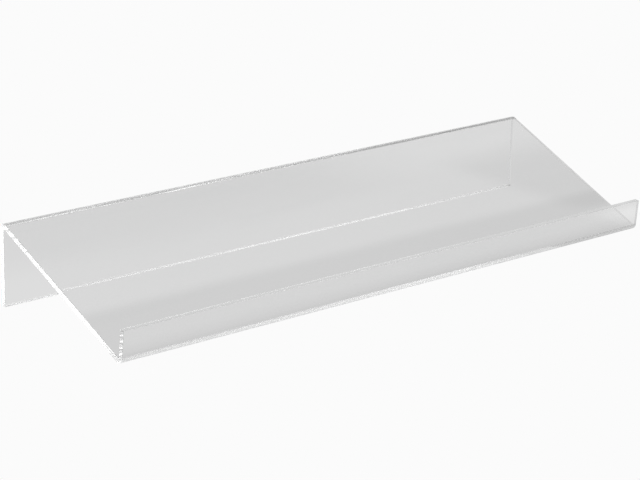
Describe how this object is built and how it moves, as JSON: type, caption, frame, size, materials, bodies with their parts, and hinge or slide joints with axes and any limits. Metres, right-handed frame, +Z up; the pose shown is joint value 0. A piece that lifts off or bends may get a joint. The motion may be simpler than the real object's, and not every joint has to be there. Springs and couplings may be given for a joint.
{
  "type": "magazine rack",
  "caption": "Free-standing magazine rack bent from clear acrylic sheet, with an upright back leg, a long sloping shelf and a low front lip.",
  "frame": {"origin": "centre of the footprint, on the surface that the rack stands on", "axes": "+X along the bends, +Z up; the lip is at -Y and the leg at +Y"},
  "size_m": [0.6, 0.18, 0.075],
  "materials": {
    "clear_acrylic": "clear cast acrylic, glossy faces, flame-polished edges"
  },
  "bodies": {
    "root": {"bent_sheet": "clear_acrylic"}
  },
  "joints": []
}
